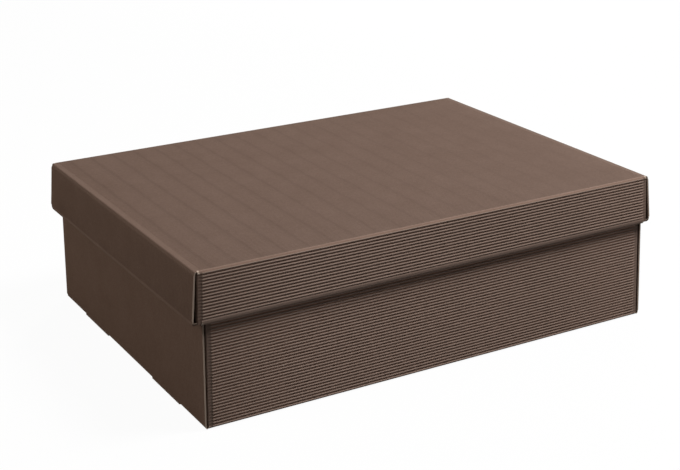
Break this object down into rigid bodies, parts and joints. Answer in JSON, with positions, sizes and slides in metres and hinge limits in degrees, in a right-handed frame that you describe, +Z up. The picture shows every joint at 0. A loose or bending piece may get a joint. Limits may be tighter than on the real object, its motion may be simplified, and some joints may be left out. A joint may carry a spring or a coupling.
{
  "type": "closed cardboard box with lift-off lid",
  "caption": "Closed storage box of ribbed board: a folded tray base and a shallow lift-off lid that telescopes over it.",
  "frame": {"origin": "middle of the underside, on the plane that the box stands on", "axes": "+X along the long side, +Y across it, +Z up, the way the lid lifts"},
  "size_m": [0.4112, 0.3, 0.1234],
  "materials": {
    "base_board": "matte",
    "lid_board": "matte"
  },
  "bodies": {
    "base": {"base": "base_board"},
    "lid": {"lid": "lid_board"}
  },
  "joints": [
    {"name": "lid_lift", "type": "slide", "parent": "base", "child": "lid", "axis": [0, 0, 1], "range_m": [0, 0.16]}
  ]
}
